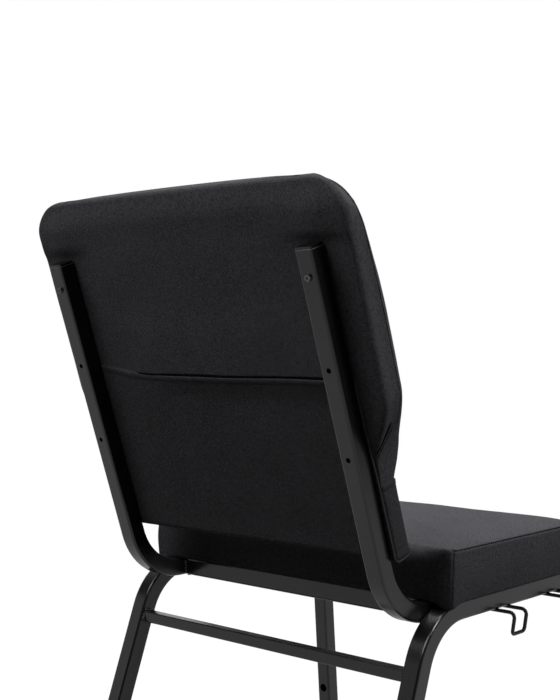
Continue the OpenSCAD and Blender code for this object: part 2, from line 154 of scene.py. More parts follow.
def new_piece(name, verts, faces, uvs=None, smooth_faces=True):
    """A mesh object from points in millimetres. uvs holds a pair in millimetres for each point."""
    mesh = bpy.data.meshes.new(name)
    mesh.from_pydata([tuple(v * MM for v in p) for p in verts], [], faces)
    mesh.update()
    if uvs is not None:
        layer = mesh.uv_layers.new(name="UVMap")
        for loop in mesh.loops:
            layer.data[loop.index].uv = uvs[loop.vertex_index]
    if smooth_faces:
        for p in mesh.polygons:
            p.use_smooth = True
    return linked(name, mesh)


def face_outwards(obj, merge=None):
    """Turns the faces outwards, once points closer than merge, in metres, are joined."""
    bm = bmesh.new()
    bm.from_mesh(obj.data)
    if merge is not None:
        bmesh.ops.remove_doubles(bm, verts=bm.verts, dist=merge)
    bmesh.ops.recalc_face_normals(bm, faces=bm.faces)
    bm.to_mesh(obj.data)
    bm.free()


def close_weave(obj, count, girth):
    """Carries the cloth's U on across the column where each ring of points closes."""
    layer = obj.data.uv_layers["UVMap"]
    for poly in obj.data.polygons:
        columns = [v % count for v in poly.vertices]
        if 0 in columns and count - 1 in columns:
            for li in poly.loop_indices:
                if obj.data.loops[li].vertex_index % count == 0:
                    layer.data[li].uv.x = girth


def ring_grid(rings, close_first=True, close_last=True):
    """Verts and faces of a skin through closed rings that all have the same number of points."""
    n = len(rings[0])
    verts = [p for r in rings for p in r]
    faces = []
    for i in range(len(rings) - 1):
        for j in range(n):
            k = (j + 1) % n
            faces.append((i * n + j, i * n + k, (i + 1) * n + k, (i + 1) * n + j))
    if close_first:
        faces.append(tuple(reversed(range(n))))
    if close_last:
        faces.append(tuple((len(rings) - 1) * n + j for j in range(n)))
    return verts, faces


def two_sided(rows, columns):
    """Faces of a sheet that has its first side's grid of points and then its second side's."""
    off = rows * columns
    faces = []
    for i in range(rows - 1):
        for j in range(columns - 1):
            a = i * columns + j
            faces.append((a, a + 1, a + 1 + columns, a + columns))
            faces.append((off + a, off + a + columns, off + a + 1 + columns, off + a + 1))
    for first in (0, (rows - 1) * columns):
        for a in range(first, first + columns - 1):
            faces.append((a, a + 1, off + a + 1, off + a))
    for first in (0, columns - 1):
        for a in range(first, first + (rows - 1) * columns, columns):
            faces.append((a, a + columns, off + a + columns, off + a))
    return faces


# Shares of a tube's radius at the first two points from each end, which round it off
END_SHARES = (0.35, 0.75)


def tube_along(name, path, radius, sides, ripple=0.0, pitch=1.0, taper=0.0):
    """Closed tube along a path, with rounded ends.

    ripple swells it in waves of a pitch, as in a weld bead. taper is the share of the radius that is
    lost by its last point.
    """
    rings = []
    run = 0.0
    last = len(path) - 1
    for i, p in enumerate(path):
        p = Vector(p)
        ahead = Vector(path[min(i + 1, last)])
        behind = Vector(path[max(i - 1, 0)])
        along = (ahead - behind).normalized()
        if i:
            run += (p - behind).length
        # any direction does that isn't close to the path's own
        ref = Vector((0.31, 0.22, 0.93)) if abs(along.z) < 0.9 else Vector((0.9, 0.3, 0.1))
        u = along.cross(ref).normalized()
        v = along.cross(u)
        end = min(i, last - i)
        r = radius * (END_SHARES[end] if end < len(END_SHARES) else 1.0)
        r *= (1 + ripple * math.sin(2 * math.pi * run / pitch)) * (1 - taper * i / last)
        angles = [2 * math.pi * k / sides for k in range(sides)]
        rings.append([tuple(p + u * r * math.cos(a) + v * r * math.sin(a)) for a in angles])
    verts, faces = ring_grid(rings)
    obj = new_piece(name, verts, faces)
    face_outwards(obj)
    return obj


# Camera
CAMERA_AT = Vector((-1129.7, 1348.9, 699.3)) * MM
YAW = math.radians(42.431)
PITCH = math.radians(-0.404)
ROLL = math.radians(-0.129)
FOCAL_PX = 1197.39
IMAGE_H = 700
SENSOR = 36.0
VIEW = Vector((math.sin(YAW) * math.cos(PITCH), -math.cos(YAW) * math.cos(PITCH), math.sin(PITCH)))


def build_camera():
    level_right = VIEW.cross(Vector((0, 0, 1))).normalized()
    level_up = level_right.cross(VIEW)
    right = level_right * math.cos(ROLL) + level_up * math.sin(ROLL)
    up = right.cross(VIEW)
    data = bpy.data.cameras.new("camera")
    data.sensor_fit = "VERTICAL"
    data.sensor_height = SENSOR
    data.lens = SENSOR * FOCAL_PX / IMAGE_H
    data.clip_start = 0.05
    cam = linked("camera", data)
    turn = Matrix((right, up, -VIEW)).transposed().to_4x4()
    cam.matrix_world = Matrix.Translation(CAMERA_AT) @ turn
    bpy.context.scene.camera = cam


build_camera()


# Materials
def node_material(name):
    mat = bpy.data.materials.new(name)
    mat.use_nodes = True
    tree = mat.node_tree
    return mat, tree, tree.nodes["Principled BSDF"]


def add(tree, kind, **settings):
    node = tree.nodes.new(kind)
    for key, value in settings.items():
        setattr(node, key, value)
    return node


def object_coords(tree):
    return add(tree, "ShaderNodeTexCoord").outputs["Object"]


def math_node(tree, operation, a, b=None):
    node = add(tree, "ShaderNodeMath", operation=operation)
    for socket, value in ((node.inputs[0], a), (node.inputs[1], b)):
        if value is None:
            continue
        if isinstance(value, (int, float)):
            socket.default_value = value
        else:
            tree.links.new(value, socket)
    return node.outputs[0]


def plus(tree, a, b):
    return math_node(tree, "ADD", a, b)


def times(tree, a, b):
    return math_node(tree, "MULTIPLY", a, b)


def ramp(tree, fac, stops):
    node = add(tree, "ShaderNodeValToRGB")
    elements = node.color_ramp.elements
    for i, (at, value) in enumerate(stops):
        e = elements[i] if i < 2 else elements.new(at)
        e.position = at
        e.color = (*value, 1) if hasattr(value, "__len__") else (value, value, value, 1)
    tree.links.new(fac, node.inputs["Fac"])
    return node.outputs["Color"]


def noise_node(tree, coords, scale, detail, rough=0.5):
    node = add(tree, "ShaderNodeTexNoise")
    node.inputs["Scale"].default_value = scale
    node.inputs["Detail"].default_value = detail
    node.inputs["Roughness"].default_value = rough
    tree.links.new(coords, node.inputs["Vector"])
    return node.outputs["Fac"]


def bump(tree, bsdf, height, strength, distance):
    node = add(tree, "ShaderNodeBump")
    node.inputs["Strength"].default_value = strength
    node.inputs["Distance"].default_value = distance * MM
    tree.links.new(height, node.inputs["Height"])
    tree.links.new(node.outputs["Normal"], bsdf.inputs["Normal"])


def powder_coat(name, dark, light, roughness, grain=0.12, gloss=0.42):
    """Satin powder coat: fine orange peel, with slight changes of tone and gloss."""
    mat, tree, bsdf = node_material(name)
    coords = object_coords(tree)
    peel = noise_node(tree, coords, scale=900.0, detail=2.0)
    broad = noise_node(tree, coords, scale=9.0, detail=3.0)
    speck = noise_node(tree, coords, scale=2600.0, detail=1.0)
    tree.links.new(ramp(tree, broad, ((0.3, dark), (0.7, light))), bsdf.inputs["Base Color"])
    rough = ramp(tree, broad, ((0.25, roughness - 0.04), (0.75, roughness + 0.05)))
    tree.links.new(rough, bsdf.inputs["Roughness"])
    bump(tree, bsdf, plus(tree, peel, times(tree, speck, 0.4)), strength=grain, distance=0.12)
    bsdf.inputs["Specular IOR Level"].default_value = gloss
    return mat


TWILL_PITCH = 2.6
# How much of the cloth's tone comes from its mixed fibres, its uneven yarn and its broad patches
MELANGE, SLUB, PATCH = 1.6, 0.4, 0.2


def woven(name, dark, light, threads=0.5):
    """Flat twill cloth. Its threads run along the piece's own U and V, which are in millimetres.

    threads says how much the single threads change its tone.
    """
    mat, tree, bsdf = node_material(name)
    uv = add(tree, "ShaderNodeUVMap", uv_map="UVMap").outputs["UV"]
    split = add(tree, "ShaderNodeSeparateXYZ")
    tree.links.new(uv, split.inputs[0])
    u, v = split.outputs["X"], split.outputs["Y"]
    coords = object_coords(tree)

    def wave(distance):
        return math_node(tree, "SINE", times(tree, distance, 2 * math.pi / TWILL_PITCH))

    weave = plus(tree, times(tree, wave(plus(tree, u, v)), 0.4),
                 times(tree, times(tree, wave(u), wave(v)), 0.6))
    melange = noise_node(tree, coords, scale=560.0, detail=2.0, rough=0.7)
    slub = noise_node(tree, coords, scale=270.0, detail=1.0)
    patch = noise_node(tree, coords, scale=14.0, detail=3.0)
    grain = plus(tree, times(tree, melange, MELANGE), times(tree, slub, SLUB))
    broad = plus(tree, times(tree, patch, PATCH), times(tree, weave, threads))
    # the noises are centred on one half, and this leaves the tone centred there too
    tone = math_node(tree, "SUBTRACT", plus(tree, grain, broad), (MELANGE + SLUB + PATCH - 1) / 2)
    tree.links.new(ramp(tree, tone, ((0.0, dark), (1.0, light))), bsdf.inputs["Base Color"])
    bump(tree, bsdf, plus(tree, weave, times(tree, melange, 0.6)), strength=0.6, distance=0.35)
    bsdf.inputs["Roughness"].default_value = 0.9
    bsdf.inputs["Specular IOR Level"].default_value = 0.02
    bsdf.inputs["Sheen Weight"].default_value = 0.04
    bsdf.inputs["Sheen Roughness"].default_value = 0.45
    bsdf.inputs["Sheen Tint"].default_value = (0.8, 0.8, 0.86, 1)
    return mat


def plain_matter(name, dark, light, roughness, specular=0.5):
    """Plastic, rubber, cloth, felt, or the painted shade laid along seams: one colour with a fine
    grain.
    """
    mat, tree, bsdf = node_material(name)
    coords = object_coords(tree)
    fine = noise_node(tree, coords, scale=1200.0, detail=2.0)
    tree.links.new(ramp(tree, fine, ((0.3, dark), (0.7, light))), bsdf.inputs["Base Color"])
    bump(tree, bsdf, fine, strength=0.15, distance=0.1)
    bsdf.inputs["Roughness"].default_value = roughness
    bsdf.inputs["Specular IOR Level"].default_value = specular
    return mat


def plated(name, dark, light, roughness):
    mat, tree, bsdf = node_material(name)
    coords = object_coords(tree)
    fine = noise_node(tree, coords, scale=600.0, detail=3.0)
    tree.links.new(ramp(tree, fine, ((0.3, dark), (0.7, light))), bsdf.inputs["Base Color"])
    rough = ramp(tree, fine, ((0.2, roughness - 0.06), (0.8, roughness + 0.08)))
    tree.links.new(rough, bsdf.inputs["Roughness"])
    bsdf.inputs["Metallic"].default_value = 1.0
    return mat


def plywood(name):
    mat, tree, bsdf = node_material(name)
    coords = object_coords(tree)
    stretch = add(tree, "ShaderNodeMapping")
    stretch.inputs["Scale"].default_value = (6.0, 60.0, 60.0)
    tree.links.new(coords, stretch.inputs["Vector"])
    grain = noise_node(tree, stretch.outputs["Vector"], scale=3.0, detail=6.0, rough=0.6)
    tone = ramp(tree, grain, ((0.3, (0.42, 0.27, 0.14)), (0.55, (0.6, 0.42, 0.24)),
                              (0.75, (0.68, 0.5, 0.3))))
    tree.links.new(tone, bsdf.inputs["Base Color"])
    bump(tree, bsdf, grain, strength=0.2, distance=0.3)
    bsdf.inputs["Roughness"].default_value = 0.7
    return mat


CLOTH_DARK = (0.0105, 0.01, 0.011)
CLOTH_LIGHT = (0.0935, 0.09, 0.0983)

coat = powder_coat("satin_black_powder_coat", 0.004, 0.008, 0.23)
weld_coat = powder_coat("coated_weld", 0.004, 0.008, 0.24, grain=0.2)
# a lighter coat for the ring round each cap: painted highlight along the cap's edge
cap_edge_highlight_coat = powder_coat("painted_cap_edge_highlight", 0.02, 0.11, 0.3, grain=0.2)
wire_coat = powder_coat("satin_black_wire_coat", 0.003, 0.006, 0.42, grain=0.1, gloss=0.3)
cloth = woven("charcoal_twill", CLOTH_DARK, CLOTH_LIGHT)
seat_cloth = woven("charcoal_seat_twill", CLOTH_DARK, CLOTH_LIGHT, threads=0.22)
pocket_cloth = woven("charcoal_pocket_twill", (0.009, 0.0083, 0.009), (0.077, 0.0715, 0.078))
pocket_edge_cloth = plain_matter("charcoal_pocket_edge", (0.018, 0.017, 0.019),
                                 (0.034, 0.032, 0.036), 0.9)
# near black, laid on thin tubes in the seams and tucks of the cushions: painted shade of their creases
seam_shade = plain_matter("painted_seam_shade", 0.003, 0.007, 0.95, specular=0.03)
dust_cloth = plain_matter("black_dust_cloth", 0.012, 0.03, 0.9)
glide_plastic = plain_matter("black_glide_plastic", 0.012, 0.02, 0.45)
bumper_rubber = plain_matter("black_bumper_rubber", 0.012, 0.022, 0.75)
zinc = plated("zinc_plated_steel", (0.45, 0.46, 0.48), (0.66, 0.67, 0.69), 0.34)
black_oxide = plated("black_oxide_steel", 0.06, 0.12, 0.24)
ply = plywood("raw_plywood")


def paint(obj, mat):
    obj.data.materials.clear()
    obj.data.materials.append(mat)


def place(obj, mat, slot, *replaced):
    paint(obj, mat)
    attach(obj, "root")
    if replaced:
        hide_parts(*replaced)


def paint_nodes():
    """Foam and upholstery get no finish here, because soft pieces stand for their nodes."""
    finishes = {"frame": coat, "glide": glide_plastic, "bumper": bumper_rubber, "plywood": ply,
                "zinc": zinc, "black_screw": black_oxide, "dust_cloth": dust_cloth}
    slot_of = {s["node"]: s["material_slot"] for s in frame["record"]["subparts"]}
    for name, obj in nodes.items():
        if slot_of[name] in finishes:
            paint(obj, wire_coat if name.startswith("ganging") else finishes[slot_of[name]])


paint_nodes()


# Back cushion. SEAM_N, FRONT_N and FRONT_CROWN each give first a value for the thin lower part and
# then one for the wide part above it.
BACK_TOP = 558.5
CORNER_R = 46.0
SEAM_HALF_W = 274.5
LOW_HALF_W = 251.0
REAR_FLARE = 8.0
COVER_REAR = -13.9
SEAM_N = (-27, -47)
FRONT_N = (-36, -62)
FRONT_CROWN = (1, 18)
SIDE_BULGE = 5.6
SEAM_GROOVE = 2.2
SEAM_LINE_FROM = 246
TOP_TILT, TOP_ARCH, TOP_DROP = 2.5, 2.6, 1.5
UNDER_UPRIGHT_N = -13.2
CAP_SEAM_S = 476.4

# On each side two tucks draw the wide part in to the thin lower part. Each has a line from (s, n) to
# (s, n), presses the cloth in by a depth over a width, and has a dark tube of painted shade of a
# radius laid along it.
Tuck = namedtuple("Tuck", "name start end depth width_start width_end thread_r taper")
TUCKS = (Tuck("upper", (251.5, -31.9), (210.5, -11.5), 1.0, 3.0, 2.0, 1.9, 0.55),
         Tuck("lower", (243.0, -39.0), (208.0, -12.5), 0.8, 2.2, 1.6, 0.75, 0.0))
TUCK_PUFF = 1.6


def hem_height(x):
    """The pocket's top hem, which climbs towards the sitter's left."""
    return 311.5 + 2.5 * rise(x, 110, 40) + 6.5 * rise(x, 150, 60) + 0.5 * math.sin(x / 31)


def swell(s):
    """0 in the thin lower part and 1 in the wide part."""
    return rise(s, 196.3, 93.4)


def top_round(s, r):
    """How far an edge has come in at a height, where it rounds over to the cushion's top."""
    return 0.0 if s < BACK_TOP - r else r - math.sqrt(max(0.0, r * r - (s - BACK_TOP + r) ** 2))


def cushion_section(s):
    """Half section at a height, from rear middle to front middle, as (x, n) control points."""
    wider = swell(s)
    corner = top_round(s, CORNER_R)
    w = mix(LOW_HALF_W, SEAM_HALF_W, wider) - corner - 1.5 * fade(s, 200, 26)
    rear = COVER_REAR - 8.5 * max(0.0, (s - BACK_TOP + 40) / 40) ** 2 - top_round(s, 6)
    tuck = top_round(s, 68) - corner
    front_edge = top_round(s, 24)
    seam = mix(*SEAM_N, rise(s, 180, 50)) + 6 * rise(s, 380, 160) + front_edge / 2
    front = mix(*FRONT_N, rise(s, 150, 68)) - rise(s, 270, 70) + 10 * rise(s, 380, 160) + front_edge
    crown = mix(*FRONT_CROWN, rise(s, 175, 110)) - 5 * rise(s, 400, 150)
    bulge = SIDE_BULGE * wider
    wide = w + REAR_FLARE * wider
    side = w + 0.85 * bulge - 0.8 * tuck + 1.2 * wider
    square = fade(s, 236, 36)
    rear_face = [(0, rear), (w * 0.3, rear), (w * 0.6, rear), (wide - 32, rear)]
    rear_edge = [(wide - mix(7, 3, square), rear - mix(0.2, 0.1, square)),
                 (wide - mix(1, 0.2, square), rear - mix(2.2, 1.2, square)),
                 (wide + 0.3, rear - mix(7, 5, square))]
    side_face = [(w + 1.2 * bulge - 0.5 * tuck, mix(rear - 9, seam, 0.5)), (side + 0.3, seam + 3.4),
                 (side + 0.3, seam + 1.3), (side - SEAM_GROOVE * rise(s, 232, 16), seam),
                 (side + 0.2, seam - 1.3), (w + 0.6 * bulge - 0.8 * tuck + 1.4 * wider, seam - 3.4)]
    front_face = [(w - tuck, front + 3), (w - 7 - tuck, front - 1.5),
                  (w - 26 - tuck, front - 0.38 * crown), (w * 0.68, front - 0.75 * crown),
                  (w * 0.36, front - 0.95 * crown), (0, front - crown)]
    return rear_face + rear_edge + side_face + front_face


SECTION_STEPS = 12
# Every how many of those steps a point is kept, for each stretch between two control points
SECTION_STRIDES = (2, 2, 2, 2, 3, 3, 1, 1, 6, 6, 6, 6, 4, 4, 3, 2, 2, 2)
SEAM_POINT = 10
SEAM_AT = sum(SECTION_STEPS // stride for stride in SECTION_STRIDES[:SEAM_POINT])


def cushion_ring(s):
    fine = catmull(cushion_section(s), SECTION_STEPS)
    half = []
    for part, stride in enumerate(SECTION_STRIDES):
        start = part * SECTION_STEPS
        half += fine[start:start + SECTION_STEPS:stride]
    half.append(fine[-1])
    return half + [(-x, n) for x, n in reversed(half[1:-1])]


def along_tuck(tuck, s, n):
    """How far a point of the side lies off a tuck's line, and its share of the way along it."""
    (s0, n0), (s1, n1) = tuck.start, tuck.end
    ds, dn = s1 - s0, n1 - n0
    length = math.hypot(ds, dn)
    along = ((s - s0) * ds + (n - n0) * dn) / length ** 2
    return ((s - s0) * dn - (n - n0) * ds) / length, along


def tuck_depth(s, n):
    """How far the tucks press the cloth in at a point of the side. It puffs out between them."""
    depth = 0.0
    for tuck in TUCKS:
        off, t = along_tuck(tuck, s, n)
        if -0.25 < t < 1.3:
            width = mix(tuck.width_start, tuck.width_end, max(0.0, min(1.0, t)))
            ends = rise(t, -0.06, 0.1) * fade(t, 1.28, 0.2)
            depth += tuck.depth * (1 - 0.3 * max(0.0, t)) * ends * math.exp(-(off / width) ** 2)
    (off_a, t_a), (off_b, t_b) = [along_tuck(tuck, s, n) for tuck in TUCKS]
    between = fade(off_a, 0, 3) * rise(off_b, 0, 3) * rise(t_a, -0.1, 0.2) * fade(t_b, 1.1, 0.2)
    return depth - TUCK_PUFF * between


def held_by_hem(x, s):
    """The pocket's hem holds the cover in, and the cushion swells out again just above it."""
    above_hem = s - hem_height(x)
    swollen = rise(above_hem, 0.3, 2.4)
    out = 5.2 * swollen * fade(above_hem, 110, 100) - 0.5 * rise(above_hem, -40, 30) * (1 - swollen)
    return fade(x, 152, 22) * fade(abs(x), 216, 5) * out


def cover_point(x, s, n):
    """Where a point of the plain section lies once the cover is filled, held in and sewn."""
    rear_share = rise(n, -24, 8)
    between = fade(abs(x), 212, 60) * rise(s, 325, 60) * fade(s, BACK_TOP - 8, 60)
    above = rise(s, 480, 17) * fade(s, BACK_TOP - 6, 34)
    near_upright = math.exp(-((abs(x) - UPRIGHT_X) / 27) ** 2)
    n2 = n + rear_share * (2.4 * between * (1 - above) + (1.8 + 5.2 * near_upright) * above)
    n2 += 0.5 * wobble(x, s, n, 70, 3.1) + 0.2 * wobble(x, s, n, 22, 7.7)
    n2 += rear_share * held_by_hem(x, s)
    if at_upright(x, 16) and s < 482:
        n2 = min(n2, UNDER_UPRIGHT_N)
    x2 = x * (1 + 0.0012 * wobble(x, s, n, 60, 1.3))
    # the sitter's right top corner is rounder than the left one
    x2 *= 1 - (0.22 if x < 0 else -0.06) * top_round(s, CORNER_R) / SEAM_HALF_W
    if x < 0:
        x2 *= 1 - 0.003 * rise(s, BACK_TOP - 80, 30) * fade(s, BACK_TOP - 8, 22)
    near_side = rise(abs(x), LOW_HALF_W - 8, 6)
    if near_side > 0 and n < -8:
        x2 -= math.copysign(near_side * tuck_depth(s, n), x)
        # small puckers beside the seam at the top corners
        pucker = rise(s, 468, 20) * fade(s, 540, 16) * rise(n, -46, 8) * fade(n, -17, 9)
        waves = math.sin(s / 1.35 + n / 4.5 + 2 * wobble(x, s, n, 18, 6.1))
        x2 += math.copysign(1.3 * pucker * waves, x)
    lift = (TOP_TILT * x / 275 + TOP_ARCH * (1 - (x / 275) ** 2) - TOP_DROP) * rise(s, 380, 150)
    return tuple(on_back(x2, s + lift, n2))


def cushion_heights():
    """Heights of the rings, closest at the tucks, at the hem and round the top."""
    arc = [BACK_TOP - CORNER_R + CORNER_R * math.sin(math.radians(a)) for a in range(2, 89, 4)]
    return (spaced(150, 6, 4) + spaced(173, 5, 6) + [202] + spaced(205, 1.25, 42)
            + spaced(259, 5, 10) + spaced(307, 1.1, 19) + spaced(329, 5, 37) + arc + [BACK_TOP - 0.03])


def top_faces(rings):
    """Faces that close the last ring from its rear half across to its front half."""
    n = len(rings[0])
    base = (len(rings) - 1) * n
    half = n // 2
    faces = []
    for j in range(half):
        a, b = base + j, base + j + 1
        c, d = base + (n - j - 1) % n, base + (n - j) % n
        if j == 0:
            faces.append((a, b, c))
        elif j == half - 1:
            faces.append((a, b, d))
        else:
            faces.append((a, b, c, d))
    return faces


def build_back_cushion(rings):
    verts, walls = ring_grid(rings, close_last=False)
    girth = girth_marks(cushion_ring(330.0))
    uvs = [mark for run in column_runs(rings) for mark in zip(girth, run)]
    obj = new_piece("back_cushion", verts, walls + top_faces(rings), uvs)
    close_weave(obj, len(rings[0]), girth[-1])
    layer = obj.data.uv_layers["UVMap"]
    for poly in list(obj.data.polygons)[len(walls):]:
        for li in poly.loop_indices:
            co = obj.data.vertices[obj.data.loops[li].vertex_index].co
            layer.data[li].uv = (co.x / MM, co.y / MM)
    face_outwards(obj)
    return obj


def back_seam_path(heights, rings):
    """Up the seam on the sitter's right, across the top and down the seam on the left."""
    sewn = [ring for s, ring in zip(heights, rings) if s > SEAM_LINE_FROM]
    right, left = [ring[-SEAM_AT] for ring in sewn], [ring[SEAM_AT] for ring in sewn]
    across = [tuple(Vector(right[-1]).lerp(Vector(left[-1]), k / 60)) for k in range(1, 60)]
    return right + across + left[::-1]


def tuck_path(side, tuck, skin):
    """A tuck's line, found on the cushion's skin from outside."""
    path = []
    for k in range(25):
        s = mix(tuck.start[0], tuck.end[0], k / 24)
        n = mix(tuck.start[1], tuck.end[1], k / 24)
        outside = on_back(side * 330.0, s, n) * MM
        hit = skin.ray_cast(outside, Vector((-side, 0, 0)))[0]
        if hit is not None:
            path.append((hit.x / MM + side * 0.2, hit.y / MM, hit.z / MM))
    return path


back_heights = cushion_heights()
back_rings = [[cover_point(x, s, n) for x, n in cushion_ring(s)] for s in back_heights]
back_cushion = build_back_cushion(back_rings)
place(back_cushion, cloth, "upholstery", "back_cover", "back_foam")
# a dark tube of painted shade along the back's seam
place(tube_along("back_seam_shade", back_seam_path(back_heights, back_rings), 0.75, sides=6),
      seam_shade, "upholstery")

back_skin = BVHTree.FromPolygons([v.co for v in back_cushion.data.vertices],
                                 [tuple(p.vertices) for p in back_cushion.data.polygons])
# dark tubes of painted shade along the tucks
for side, label in SIDES:
    for tuck in TUCKS:
        place(tube_along("back_tuck_shade_%s_%s" % (tuck.name, label), tuck_path(side, tuck, back_skin),
                         tuck.thread_r, sides=8, taper=tuck.taper), seam_shade, "upholstery")


# Sleeve round the lower back
SLEEVE_T = 28.5
SLEEVE_TOP = 174.0
BACK_BOTTOM = 75.0
# How far the cloth is drawn in, at heights from the sleeve's bottom and from its hemmed top
SLEEVE_FOOT = ((0, 3.2), (0.3, 1.7), (1.1, 0.6), (2.4, 0.1), (6, 0.0))
SLEEVE_HEM = ((-9, -0.2), (-8, 0.5), (-7, -0.4), (-1.4, -0.7), (-0.3, -0.4), (0, 0.3), (-0.5, 1.6),
              (-5, 3.6))


def sleeve_loop(half_w, half_d, r):
    """Rounded rectangle with extra points along its front and rear."""
    pts = []
    for q in range(4):
        pts += corner_arc(q, half_w, half_d, r, steps=6)
        if q in (0, 2):
            x0, y0 = pts[-1]
            pts += [(mix(x0, -x0, k / 24), y0) for k in range(1, 24)]
    return pts


def build_sleeve():
    rings, uvs = [], []
    mid = COVER_REAR - SLEEVE_T / 2
    rows = [(BACK_BOTTOM + up, inset) for up, inset in SLEEVE_FOOT]
    rows += [(s, 0.0) for s in spaced(BACK_BOTTOM + 12, 6, 13)]
    rows += [(SLEEVE_TOP + up, inset) for up, inset in SLEEVE_HEM]
    for s, inset in rows:
        loop = sleeve_loop(LOW_HALF_W - 0.2 - inset, SLEEVE_T / 2 - 0.1 - 0.7 * inset, 3.6)
        girth = girth_marks(loop)
        pts = []
        for x, d in loop:
            wave = 0.5 * wobble(x, s, d, 38, 5.2) * rise(s, BACK_BOTTOM, 20)
            side = 1 if x > 0 else -1
            n = mid + d + wave if d < 0 else mid + d
            pts.append(tuple(on_back(x + 0.4 * wave * side, s, n)))
        uvs += [(mark, s) for mark in girth[:-1]]
        rings.append(pts)
    verts, faces = ring_grid(rings)
    obj = new_piece("back_sleeve", verts, faces, uvs)
    close_weave(obj, len(rings[0]), girth[-1])
    face_outwards(obj)
    return obj


back_sleeve = build_sleeve()
place(back_sleeve, pocket_cloth, "upholstery", "back_lower_sleeve")


# Pocket. Its cloth starts in front of the sleeve, goes round below it, and up the rear to the hem.
POCKET_T = 1.2
POCKET_COLUMNS = 151
HEM_DEPTH = 7.2
HEM_STITCH = 5.6
SLOT_OPEN = 4.2
UNDER = BACK_BOTTOM - 1.3
SLEEVE_FRONT = COVER_REAR - SLEEVE_T - 1.0
# Points of its start, as heights from UNDER and places rearward of SLEEVE_FRONT
POCKET_FOOT = ((6, 0), (4.5, -0.4), (3, -0.4), (1.4, 0.4), (0, 3), (-0.8, 7), (-1.6, 14), (-1.2, 21),
               (-0.2, 25), (1.5, 27.8))


def pocket_half_w(s):
    return 249.3 - 0.7 * rise(s, 80, 80) - 1.8 * rise(s, 165, 60) - 2.0 * rise(s, 225, 30)


def pocket_marks(top):
    """Heights up the rear of the back, with the hem's own rows at its upper end."""
    start = UNDER + 5
    marks = [start + (top - start) * k / 60 for k in range(1, 61)]
    hem = [top - down for down in (8, 7, 6.3, HEM_STITCH, 4.9, 3.2, 1.2, 0)]
    return [m for m in marks if m < top - 9] + hem


def pocket_path(t):
    """One column of the pocket's cloth, from its end under the back up to the hem, as (x, s, n)."""
    foot = [(UNDER + up, SLEEVE_FRONT + back) for up, back in POCKET_FOOT]
    foot.append((UNDER + 5, COVER_REAR + 0.6))
    path = [(t * pocket_half_w(80), s - 0.8 * abs(t) ** 8, n) for s, n in foot]
    top = hem_height(t * pocket_half_w(311))
    for s in pocket_marks(top):
        x = t * pocket_half_w(s)
        inside = fade(abs(x), 214.5, 14)
        middle = fade(abs(x), 205, 130)
        flat_left = fade(x, 196, 70)
        sag = inside * flat_left * (1.6 + 0.8 * rise(s, 120, 150)) * rise(s, 85, 60)
        ajar = fade(x, 150, 100) * fade(abs(x), 216.5, 8)
        open_top = ajar * SLOT_OPEN * rise(s, top - 40, 40) ** 1.5
        dimple = 0.4 if abs(s - (top - HEM_STITCH)) < 0.3 else 0.0
        waves = 0.7 * wobble(x, s, 0, 75, 2.4) + 0.35 * wobble(x, s, 0, 26, 8.8)
        soft = inside * flat_left * waves
        n = COVER_REAR + 0.62 + sag + open_top + soft * rise(s, 90, 40) - dimple * inside
        n += 0.8 * middle * rise(s, 230, 60) * math.sin(x / 55 + 0.6)
        path.append((x, s, min(n, -13.35) if at_upright(x, 14.2) else n))
    return path


def build_pocket():
    paths = [pocket_path(-1 + 2 * j / (POCKET_COLUMNS - 1)) for j in range(POCKET_COLUMNS)]
    count = len(paths[0])
    outer, inner, uvs = [], [], []
    for i in range(count):
        for path in paths:
            x, s, n = path[i]
            behind, ahead = path[max(i - 1, 0)], path[min(i + 1, count - 1)]
            ds, dn = ahead[1] - behind[1], ahead[2] - behind[2]
            size = math.hypot(ds, dn)
            out_s, out_n = -dn / size, ds / size
            half = 0.5 if at_upright(x, 14.2) else POCKET_T / 2
            # the hem is turned over, so it is thicker
            half += 0.8 * rise(s, hem_height(x) - HEM_DEPTH, 1.2) * fade(abs(x), 214.5, 14)
            flap = 3.2 * rise(x, 139, 3) if i == count - 1 else 0.0
            outer.append(tuple(on_back(x, s + out_s * half, n + out_n * half)))
            inner.append(tuple(on_back(x, s - out_s * half + flap, n - out_n * half)))
            uvs.append((x, s if i > len(POCKET_FOOT) else s - n))
    obj = new_piece("pocket", outer + inner, two_sided(count, POCKET_COLUMNS), uvs + uvs)
    face_outwards(obj)
    return obj


def build_edge_rolls():
    """The pocket's side edges are rolled over and sewn: a soft cord of cloth down each side."""
    foot = ((1.5, -14.6), (-0.8, -18), (-1.8, -24), (-1.8, -32), (-1.0, -38), (0.6, -41.6),
            (3.0, -43.2), (5.6, -43.4))
    rolls = []
    for side, label in SIDES:
        path = []
        s = hem_height(side * 245) + 0.6
        while s > UNDER + 5:
            x = pocket_half_w(s) - 0.6 + 0.2 * wobble(s, 0, 0, 14, 5)
            n = COVER_REAR + 0.2 + mix(1.7, 1.1, rise(s, 200, 50)) + 0.25 * wobble(s, 9, 0, 17, 2)
            path.append(tuple(on_back(side * x, s, n)))
            s -= 4.0
        path += [tuple(on_back(side * (pocket_half_w(80) - 0.6), UNDER + up, n)) for up, n in foot]
        rolls.append(tube_along("pocket_edge_" + label, catmull(path, 2), 1.25, sides=10))
    return rolls


pocket = build_pocket()
place(pocket, pocket_cloth, "upholstery", "pocket_panel")
edge_rolls = build_edge_rolls()
for roll in edge_rolls:
    place(roll, pocket_edge_cloth, "upholstery")


# Seat. Heights are from the top of the side rails.
SEAT_HALF_W = 277.0
SEAT_REAR = 95.5
SEAT_FRONT = -328.0
SEAT_MID_Y = (SEAT_REAR + SEAT_FRONT) / 2
SEAT_HALF_D = (SEAT_REAR - SEAT_FRONT) / 2
SIDE_H = 66.5
CROWN = 7.8
CROWN_EDGE = 2.0
CROWN_REACH = 212
CORNER_STEPS = 12
FALL_OVER = 150
WALL_FOOT = 1.2
WALL_ROWS = 20
END_STRAIGHT = 43.5
END_R = 24.0
WELT_IN = 3.8
